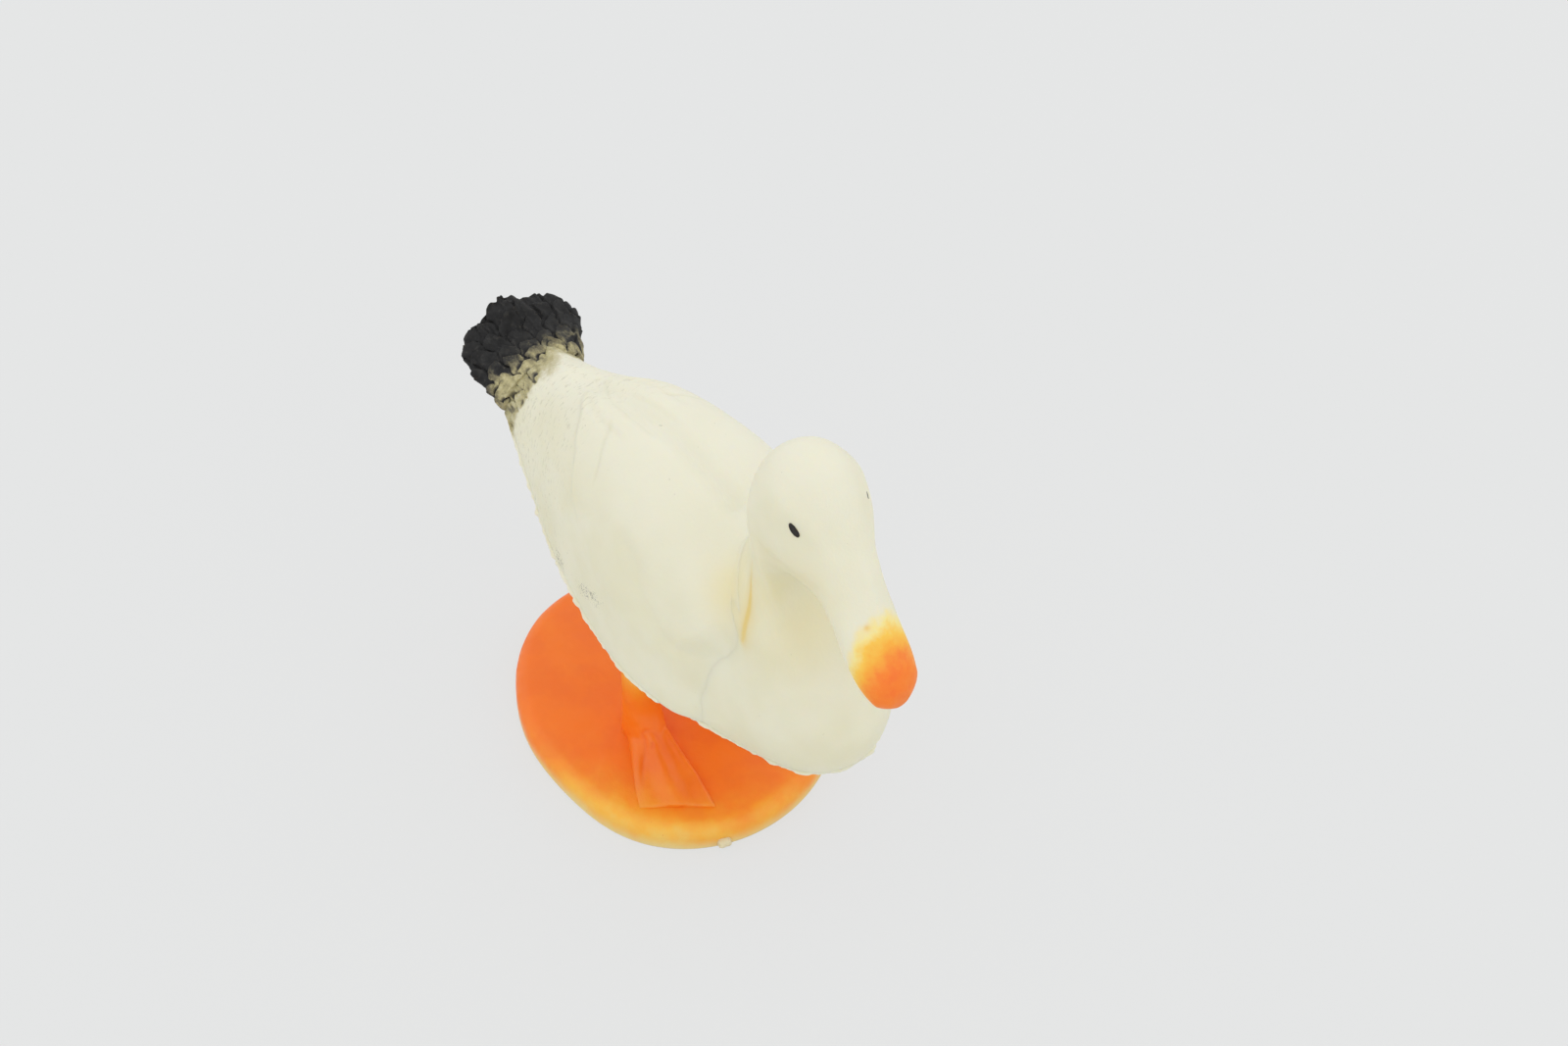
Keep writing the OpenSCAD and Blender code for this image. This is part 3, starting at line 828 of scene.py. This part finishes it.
def foot_point(t, u, side, height):
    """Point of a foot at share t of its length and u of its half width."""
    st = spline(FOOT, t * (len(FOOT) - 1))
    w = st[..., 1] * FOOT_WIDTH / 2
    toe = np.cos(np.pi * u) ** 2
    front = ease((t - 0.5) / 0.5)
    x = st[..., 0] * FOOT_LENGTH - (TOE_SCALLOP * (1 - toe) + TOE_SLANT * side * w * u) * front
    return np.stack(np.broadcast_arrays(x, w * u, height), -1)


# Lines of a foot: points, height, width and kind.
FOOT_LINES = (
    ([(8.6, -10.0, 4.0), (7.0, -8.9, 4.2), (5.6, -7.8, 4.6), (4.1, -6.7, 5.2), (3.8, -6.0, 5.6),
      (4.4, -5.4, 5.6), (4.9, -5.0, 5.3), (5.4, -4.9, 5.0)], 0.13, 0.28, "groove"),
    ([(2.9, -3.6, 6.6), (4.2, -3.6, 5.1), (6.1, -4.0, 4.4), (8.5, -4.2, 4.0), (10.5, -4.4, 3.9),
      (12.6, -4.7, 3.8), (14.5, -5.0, 3.6)], 0.22, 0.35, "ridge"),
    ([(5.1, -6.2, 4.9), (5.3, -6.3, 4.9)], 0.18, 0.4, "groove"))


def build_leg(side):
    """A webbed foot and its leg, fused into one skin."""
    t = np.linspace(0, 1, 90)[:, None]
    u = np.linspace(-1, 1, 101)[None, :]
    st = spline(FOOT, t * (len(FOOT) - 1))
    toe = np.cos(np.pi * u) ** 2
    top = TOE + (st[..., 2] - 0.3) / 0.7 * (INSTEP - TOE)
    outer = np.where(u * side > 0, 2.0, 5.0)
    web = 1 - 0.4 * (1 - toe) * ease((t - 0.2) / 0.5)
    height = top * (0.05 + 0.95 * (1 - np.abs(u) ** outer)) * web
    height = height * (1 - 0.45 * ease((t - 0.86) / 0.14))
    upper = foot_point(t, u, side, height)
    lower = foot_point(t, u[:, ::-1][:, 1:-1], side, -0.3)
    verts, faces = loft(np.concatenate([upper, lower], 1))
    verts = turned_by(verts, side * TOE_OUT)
    z = np.linspace(-0.3, RIM - 2 - PLINTH_HEIGHT, 60)[:, None]
    a = np.linspace(0, 2 * math.pi, 64, endpoint=False)[None, :]
    radius = LEG_RADIUS * (1 + 0.12 * np.exp(-(z / 2.5) ** 2) - 0.03 * ease((z - 4) / 8))
    flare = 1.3 * np.exp(-((z - 1.0) / 2.2) ** 2)
    bulge = flare * ease(np.cos(a))
    shank, shank_faces = loft(np.stack(np.broadcast_arrays(
        radius * np.cos(a) + bulge, radius * np.sin(a) + 0.3 * side * bulge, z), -1))
    faces = faces + [[i + len(verts) for i in f] for f in shank_faces]
    verts = np.concatenate([verts, shank]) + [LEG_FORWARD, side * LEG_SPACING / 2, PLINTH_HEIGHT]
    obj = make("leg_%s_foot" % ("left" if side > 0 else "right"), verts, faces)
    remesh(obj, 0.15, 8)
    p, n = coords(obj), normals(obj)
    h = 0.05 * fractal(p, 2.4, 3, 35 + side)
    creases = 0
    for points, height, width, kind in FOOT_LINES:
        line = points if side < 0 else [(x, -y, up) for x, y, up in points]
        mark = relief(p, n, line, height, width, kind, fade=0.3)
        h = h + mark
        creases = creases + np.clip(-mark, 0, 1)
    set_coords(obj, p + n * h[:, None])
    keep(obj, cavity=np.clip(3 * creases, 0, 0.6),
         paint=floor_paint(p) * (1 - 0.6 * ease((p[:, 2] - 8) / 8)),
         bare=0.9 * ease((p[:, 2] - 15.0 + 0.8 * fractal(p, 2.0, 2, 37)) / 5))
    return obj


def build_plinth():
    """The rounded plinth, a little uneven in outline and flattened on its near side."""
    a = np.linspace(0, 2 * math.pi, 420, endpoint=False)
    lobe = 0.4 * np.cos(3 * (a + math.radians(55)))
    turned = (a + math.radians(82) + math.pi) % (2 * math.pi) - math.pi
    lobe -= 0.75 * np.exp(-(turned / 0.42) ** 2)

    def ring(inset, z):
        r = lobe - inset
        return np.stack([(PLINTH_LENGTH / 2 + r) * np.cos(a),
                         (PLINTH_WIDTH / 2 + r) * np.sin(a), 0 * a + z], -1)
    rows = [ring(0.25, 0), ring(0.08, 0.08), ring(0, 0.25)]
    wall = PLINTH_HEIGHT - PLINTH_ROUND
    rows += [ring(0, z) for z in np.linspace(0.3, wall, 10)]
    rows += [ring(PLINTH_ROUND * (1 - math.cos(b)), wall + PLINTH_ROUND * math.sin(b))
             for b in np.linspace(0, math.pi / 2, 15)[1:]]
    top = rows[-1]
    middle = np.array([0, 0, PLINTH_HEIGHT])
    rows += [middle + (top - middle) * k for k in np.linspace(1, 0.02, 80)[1:]]
    obj = make("plinth_base", *skin(np.array(rows)))
    p, n = coords(obj), normals(obj)
    h = 0.05 * fractal(p, 5.0, 3, 41) * ease(p[:, 2] / 1.0) - 0.05
    set_coords(obj, p + n * h[:, None])
    keep(obj, paint=floor_paint(p) * (0.35 + 0.65 * ease((p[:, 2] + 0.4) / 2.6)),
         bare=(0.35 + 0.3 * ease(-p[:, 0] / 10)) * (1 - ease(p[:, 2] / 1.7)))
    return obj


def rim_line(rings):
    """The widest line right round the body, from the tail's near side to its far side."""
    s = np.linspace(0, SEAM - 0.05, 240)
    v = spline(REAR, s)
    half = v[:, 5] * BODY_WIDTH / 2
    near, far = (place(v[:, 2], LEAN + side * half, v[:, 3]) for side in (-1, 1))
    half_turn = rings.shape[1] // 2 + 1
    fronts = []
    for side in (0, 1):
        found = []
        for ring in rings[:int(len(rings) * 0.45)]:
            run = (ring if side else ring[::-1])[:half_turn]
            z = run[:, 2] - RIM
            cross = np.nonzero((z[:-1] > 0) & (z[1:] <= 0))[0]
            if len(cross) and z[0] > 0:
                k = cross[-1]
                f = z[k] / (z[k] - z[k + 1])
                found.append(run[k] + (run[k + 1] - run[k]) * f)
        fronts.append(np.array(found))
    line = np.concatenate([near, fronts[0], fronts[1][::-1], far[::-1]])
    line = line[np.concatenate([[True], np.linalg.norm(np.diff(line, axis=0), axis=1) > 0.02])]
    t = even(line, 1400)
    base = np.linspace(0, 1, len(line))
    return evened(np.stack([np.interp(t, base, line[:, k]) for k in range(3)], -1), 12)


def build_flash(rings):
    """The thin ragged fin of resin that the mould's joint has left round the body."""
    line = rim_line(rings)
    tangent = np.gradient(line, axis=0)
    out = np.cross(tangent, [0, 0, 1.0])
    out /= np.linalg.norm(out, axis=1)[:, None]
    run = np.linspace(0, 1, len(line))
    rag = noise(line, 1.5, 101) + 0.8 * noise(line, 0.55, 102)
    ends = ease(run / 0.06) * ease((1 - run) / 0.06)
    reach = (0.24 + 0.20 * np.clip(rag, -1.0, 1.7)) * (0.35 + 0.65 * ends)
    lift = 0.10 * noise(line, 2.2, 103)
    profile = ((-0.7, -0.42), (-0.1, -0.30), (0.55, -0.15), (0.95, -0.06), (1.0, 0.02), (0.9, 0.10),
               (0.5, 0.20), (-0.1, 0.34), (-0.7, 0.5))
    rows = []
    for a, b in profile:
        side = np.where(a > 0, a * reach, a * 0.6)
        up = b * 0.8 + lift * max(a, 0)
        rows.append(line + out * side[:, None] + np.array([0, 0, 1.0]) * up[:, None])
    obj = make("rim_flash", *loft(np.stack(rows, 1)))
    p = coords(obj)
    keep(obj, spray=tail_spray(p), smudge=smudge(p))
    return obj


def build_gate():
    """The torn nub left where the moulding's gate was cut off the plinth."""
    a = np.linspace(0, 2 * math.pi, 40, endpoint=False)
    rows = []
    for reach, size in GATE:
        y = GATE_WIDTH / 2 * size * power(np.cos(a), 0.6) + 0.5
        z = 0.75 + 0.55 * size * power(np.sin(a), 0.6)
        rows.append(np.stack([PLINTH_LENGTH / 2 - 0.15 + reach + 0 * a, y, z], -1))
    rows = np.array(rows)
    rows += 0.12 * np.stack([noise(rows, 0.6, s) for s in (111, 112, 113)], -1) * [1, 1, 0.5]
    obj = make("plinth_gate", *loft(turned_by(rows, -20)))
    keep(obj, bare=0.75 + 0 * coords(obj)[:, 2])
    return obj


# ---- materials

def srgb(r, g, b):
    """Linear colour from sRGB values."""
    def lin(c):
        c /= 255
        return c / 12.92 if c <= 0.04045 else ((c + 0.055) / 1.055) ** 2.4
    return (lin(r), lin(g), lin(b), 1)


class Tree:
    """Builds the nodes of one material. Sizes are in millimetres."""

    def __init__(self, name):
        self.mat = bpy.data.materials.new(name)
        self.mat.use_nodes = True
        self.nodes = self.mat.node_tree.nodes
        self.shader = self.nodes["Principled BSDF"]
        self.place = self.node("TexCoord").outputs["Object"]

    def feed(self, socket, value):
        if isinstance(value, bpy.types.NodeSocket):
            self.mat.node_tree.links.new(value, socket)
        elif isinstance(value, tuple) and socket.type == "RGBA":
            socket.default_value = srgb(*value)
        else:
            socket.default_value = value

    def node(self, kind, *values, **named):
        """New node of a kind, with its inputs fed in order or by name."""
        node = self.nodes.new("ShaderNode" + kind)
        for socket, value in zip(node.inputs, values):
            self.feed(socket, value)
        for name, value in named.items():
            self.feed(node.inputs[name], value)
        return node

    def math(self, operation, *values, clamp=False):
        node = self.node("Math", *values)
        node.operation = operation
        node.use_clamp = clamp
        return node.outputs[0]

    def times(self, a, b):
        return self.math("MULTIPLY", a, b)

    def wavering(self, *pattern):
        """Noise that swings evenly about 0."""
        return self.math("SUBTRACT", self.noise(*pattern), 0.5)

    def mix(self, share, a, b):
        node = self.node("Mix", share)
        node.data_type = "RGBA"
        self.feed(node.inputs[6], a)
        self.feed(node.inputs[7], b)
        return node.outputs[2]

    def layers(self, colour, *layers):
        """Colours laid over one another, each by its own share."""
        for share, paint in layers:
            colour = self.mix(share, colour, paint)
        return colour

    def ramp(self, value, stops):
        node = self.node("ValToRGB", value)
        points = node.color_ramp.elements
        while len(points) < len(stops):
            points.new(0.5)
        for point, (at, colour) in zip(points, stops):
            point.position = at
            point.color = srgb(*colour)
        return node.outputs[0]

    def between(self, value, low, high, start=0.0, end=1.0):
        node = self.node("MapRange", value, low, high, start, end)
        node.interpolation_type = "SMOOTHSTEP"
        return node.outputs[0]

    def noise(self, size, detail=3.0, rough=0.5, shift=0.0, stretch=(1, 1, 1)):
        moved = self.node("Mapping", self.place, Location=(shift,) * 3, Scale=stretch)
        return self.node("TexNoise", Vector=moved.outputs[0], Scale=1 / (size * MM),
                         Detail=detail, Roughness=rough).outputs[0]

    def kept(self, name, share=None):
        """A number stored on the mesh, or a share of it."""
        node = self.node("Attribute")
        node.attribute_name = name
        return node.outputs["Fac"] if share is None else self.times(node.outputs["Fac"], share)

    def finish(self, colour, rough, bump=None, depth=0.02, soft=0.0):
        """Surface with an optional bump, its depth in millimetres, and a share of scattering."""
        for name, value in (("Base Color", colour), ("Roughness", rough),
                            ("Subsurface Weight", soft), ("Subsurface Radius", (1, 0.75, 0.4)),
                            ("Subsurface Scale", 2.0 * MM)):
            self.feed(self.shader.inputs[name], value)
        if bump is not None:
            node = self.node("Bump", Distance=depth * MM, Strength=1.0, Height=bump)
            self.feed(self.shader.inputs["Normal"], node.outputs[0])
        return self.mat


# Colours as sRGB values, and ramps from bare vinyl to full spray.
# On the next line, the third colour is painted light: the whiter tone of vinyl that faces up.
CREAM, WARM, TOP_LIGHT_WHITE = (238, 235, 210), (233, 229, 199), (236, 234, 216)
# On the next line, the first two colours are painted shade: a yellow tint in the folds by the neck,
# and a deep yellow tint in the fold ahead of each wing.
FOLD_SHADE_YELLOW, AMBER_SHADE, CREVICE = (238, 222, 158), (234, 203, 108), (196, 186, 146)
DOWN, SPECK, DUST, OVERSPRAY = (170, 166, 140), (168, 162, 140), (84, 80, 64), (248, 158, 72)
# On the next line, the third colour is partly dust and partly a painted highlight on the black
# paint.
NOSTRIL_DOT, STROKE, GREY_DUST_AND_HIGHLIGHT = (238, 192, 84), (250, 98, 30), (62, 60, 56)
DEEP_ORANGE, FOLD_ORANGE, BARE = (240, 104, 26), (236, 92, 22), (229, 220, 189)
FLECK = (222, 120, 50)
EYE_DARK, EYE_LIGHT = (20, 14, 12), (34, 26, 22)
FLOOR, FLOOR_LIGHT = (229, 230, 230), (230, 231, 231)
BILL = ((0.0, (238, 234, 210)), (0.18, (250, 230, 150)), (0.38, (255, 204, 80)),
        (0.62, (255, 180, 54)), (0.85, (255, 150, 44)), (1.0, (255, 130, 26)))
TAIL = ((0.0, (232, 228, 200)), (0.10, (214, 209, 182)), (0.3, (188, 179, 134)),
        (0.5, (124, 117, 90)), (0.74, (42, 41, 38)), (1.0, (10, 10, 11)))
PAINT = ((0.0, (234, 210, 160)), (0.2, (244, 206, 108)), (0.45, (252, 186, 62)),
         (0.7, (255, 156, 34)), (1.0, (255, 126, 20)))


def bill_paint(m, colour):
    """Orange spray over the bill, its brush strokes and the dot at the nostril."""
    cloud = m.times(m.wavering(0.5, 4, 0.6, 0.04), m.between(m.kept("spray"), 0.0, 0.3, 0.0, 0.22))
    spray = m.math("ADD", m.kept("spray"), cloud, clamp=True)
    strokes = m.between(m.noise(1.3, 4, 0.6, 0.21, (0.5, 1, 1)), 0.48, 0.68)
    tipped = m.times(strokes, m.between(m.kept("spray"), 0.5, 0.9, 0.0, 0.35))
    return m.layers(colour, (m.between(spray, 0.0, 0.12), m.ramp(spray, BILL)),
                    (m.kept("dot", 0.6), NOSTRIL_DOT), (tipped, STROKE))


def vinyl(name, bill=False, tail=False):
    """Cream vinyl with its mottling, dirt and sprayed paint, and painted light and shade: whiter
    where it faces up, yellower in the folds by the neck and ahead of the wings.
    """
    m = Tree(name)
    hairs = m.between(m.noise(0.35, 4, 0.65, 0.01, (1, 0.4, 0.4)), 0.54, 0.72)
    dust = m.math("ADD", m.noise(0.28, 4, 0.8, 0.03), m.kept("smudge", 0.20))
    colour = m.layers(
        # painted light: vinyl that faces up is drawn whiter
        CREAM, (m.between(m.noise(7, 2), 0.3, 0.7), WARM), (m.kept("bleached", 0.7), TOP_LIGHT_WHITE),
        # painted shade: a yellow tint in the folds by the neck, throat and cheeks
        (m.kept("hollow", 0.6), FOLD_SHADE_YELLOW), (m.times(m.kept("down", hairs), 0.45), DOWN),
        (m.kept("cavity", 0.42), CREVICE), (m.kept("orange", 0.8), OVERSPRAY),
        # painted shade: a deep yellow tint in the fold ahead of each wing
        (m.kept("amber", 0.8), AMBER_SHADE),
        (m.between(m.noise(0.5, 2, 0.5, 0.02), 0.76, 0.80, 0.0, 0.45), SPECK),
        (m.between(dust, 0.70, 0.79, 0.0, 0.85), DUST))
    edge = m.times(m.kept("spray"), m.math("SUBTRACT", 1.0, m.kept("spray")))
    ragged = m.times(m.wavering(0.7, 5, 0.72, 0.05), m.times(edge, 3.6))
    groove = m.kept("cavity", m.between(m.kept("spray"), 0.0, 0.25, 0.0, 0.75))
    sprayed = m.math("ADD", 0.0 if bill else m.kept("spray"), ragged)
    black = m.math("ADD", sprayed, groove, clamp=True)
    if bill:
        colour = bill_paint(m, colour)
    else:
        colour = m.mix(m.between(black, 0.02, 0.2), colour, m.ramp(black, TAIL))
    # Lighter grey patches on the black paint: partly dust, partly painted highlight.
    dust_and_highlight = m.times(m.between(m.noise(0.8, 5, 0.7, 0.09), 0.52, 0.72), m.between(black, 0.7, 1.0))
    colour = m.mix(m.times(dust_and_highlight, 0.6), colour, GREY_DUST_AND_HIGHLIGHT)
    rough = m.between(m.noise(1.2, 3, 0.5, 0.06), 0.3, 0.7, 0.40, 0.52)
    if tail:
        rough = m.between(m.noise(0.8, 3, 0.5, 0.06), 0.3, 0.7, 0.62, 0.80)
    return m.finish(colour, rough, m.noise(0.35, 4, 0.6, 0.07), 0.03, soft=0.1 if tail else 0.25)


def painted(name):
    """Orange paint sprayed over the vinyl, thin where it yellows."""
    m = Tree(name)
    cloud = m.times(m.wavering(2.2, 5, 0.6, 0.11), 0.45)
    uneven = m.times(cloud, m.between(m.kept("paint"), 1.0, 0.8, 0.35, 1.0))
    colour = m.ramp(m.math("ADD", m.kept("paint"), uneven, clamp=True), PAINT)
    deep = m.between(m.noise(4.0, 3, 0.5, 0.12), 0.40, 0.70, 0.0, 0.35)
    flecks = m.between(m.noise(0.4, 2, 0.5, 0.13), 0.74, 0.80, 0.0, 0.35)
    colour = m.layers(colour, (m.kept("paint", deep), DEEP_ORANGE),
                      (m.kept("cavity", 0.7), FOLD_ORANGE), (m.kept("bare"), BARE), (flecks, FLECK))
    rough = m.between(m.noise(1.0, 3, 0.5, 0.14), 0.3, 0.7, 0.36, 0.50)
    return m.finish(colour, rough, m.noise(0.5, 4, 0.6, 0.15), 0.03, soft=0.15)


def eye_paint():
    """Black paint of the eyes, half matt."""
    m = Tree("eye_paint")
    colour = m.mix(m.between(m.noise(0.3, 3), 0.4, 0.7), EYE_DARK, EYE_LIGHT)
    rough = m.between(m.noise(0.2, 2, 0.5, 0.2), 0.3, 0.7, 0.45, 0.60)
    return m.finish(colour, rough, m.noise(0.25, 2), 0.02)


def floor_white():
    """Pale floor that shows the camera a softened shadow and lights the object as plain paper."""
    m = Tree("floor_white")
    m.finish(m.mix(m.between(m.noise(40, 2), 0.4, 0.6), FLOOR, FLOOR_LIGHT), 0.95)
    m.shader.inputs["Specular IOR Level"].default_value = 0.0
    glow = m.node("Emission", FLOOR)
    rays = m.node("LightPath")
    seen = m.math("MAXIMUM", rays.outputs["Is Camera Ray"], m.math(
        "MAXIMUM", rays.outputs["Is Glossy Ray"], rays.outputs["Is Transmission Ray"]))
    mixed = m.node("MixShader", m.times(seen, 0.8), m.shader.outputs[0], glow.outputs[0])
    m.feed(m.nodes["Material Output"].inputs[0], mixed.outputs[0])
    return m.mat


cream = vinyl("cream_vinyl")
head = vinyl("cream_vinyl_sprayed_bill", bill=True)
tail = vinyl("tail_paint", tail=True)
orange = painted("orange_paint")
black = eye_paint()

# ---- assembly

front, front_rows = build_front()
for obj, node, mat, slot in (
        (build_back(front), "back", cream, "cream_vinyl"),
        (front, "breast_head", head, "cream_vinyl"),
        (build_belly(), "belly", cream, "cream_vinyl"),
        (build_fan(), "tail_fan", tail, "black_paint"),
        (build_leg(-1), "leg_right", orange, "orange_paint"),
        (build_leg(1), "leg_left", orange, "orange_paint"),
        (build_plinth(), "plinth", orange, "orange_paint"),
        (build_flash(front_rows), None, cream, "cream_vinyl"),
        (build_gate(), None, orange, "orange_paint"),
        (build_eye(-1), "eye_right", black, "black_paint"),
        (build_eye(1), "eye_left", black, "black_paint")):
    obj.data.materials.clear()
    obj.data.materials.append(mat)
    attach(obj, "root")
    if node:
        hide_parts(node)

# ---- stage

bpy.ops.mesh.primitive_plane_add(size=6, location=(0, 0, 0))
floor = bpy.context.object
floor.name = "studio_floor"
floor.data.materials.append(floor_white())

WORLD_STRENGTH = 0.985
KEY_AT = Vector((0.1, 0.35, 0.75))
KEY_AIM = Vector((0, 0, 0.03))
KEY_SIZE = 0.7
KEY_WATTS = 0.15
CAMERA_AT = (0.1937, -0.1309, 0.2998)
HEADING = math.radians(37)
PITCH = math.radians(49)
LENS = 81
SENSOR = 36

scene = bpy.context.scene
scene.world = bpy.data.worlds.new("studio")
scene.world.use_nodes = True
sky = scene.world.node_tree.nodes["Background"]
sky.inputs[0].default_value = (1, 1, 1, 1)
sky.inputs[1].default_value = WORLD_STRENGTH

key = bpy.data.lights.new("key", "AREA")
key.size = KEY_SIZE
key.energy = KEY_WATTS
lamp = bpy.data.objects.new("key", key)
lamp.location = KEY_AT
lamp.rotation_euler = (KEY_AIM - KEY_AT).to_track_quat("-Z", "Y").to_euler()
scene.collection.objects.link(lamp)

camera = bpy.data.cameras.new("camera")
camera.lens = LENS
camera.sensor_width = SENSOR
camera.clip_start = 0.01
holder = bpy.data.objects.new("camera", camera)
right = (math.sin(HEADING), math.cos(HEADING), 0)
away = (-math.cos(HEADING), math.sin(HEADING))
forward = (away[0] * math.cos(PITCH), away[1] * math.cos(PITCH), -math.sin(PITCH))
above = (away[0] * math.sin(PITCH), away[1] * math.sin(PITCH), math.cos(PITCH))
holder.matrix_world = Matrix([[right[k], above[k], -forward[k], CAMERA_AT[k]] for k in range(3)]
                             + [[0, 0, 0, 1]])
scene.collection.objects.link(holder)
scene.camera = holder
scene.view_settings.view_transform = "Standard"
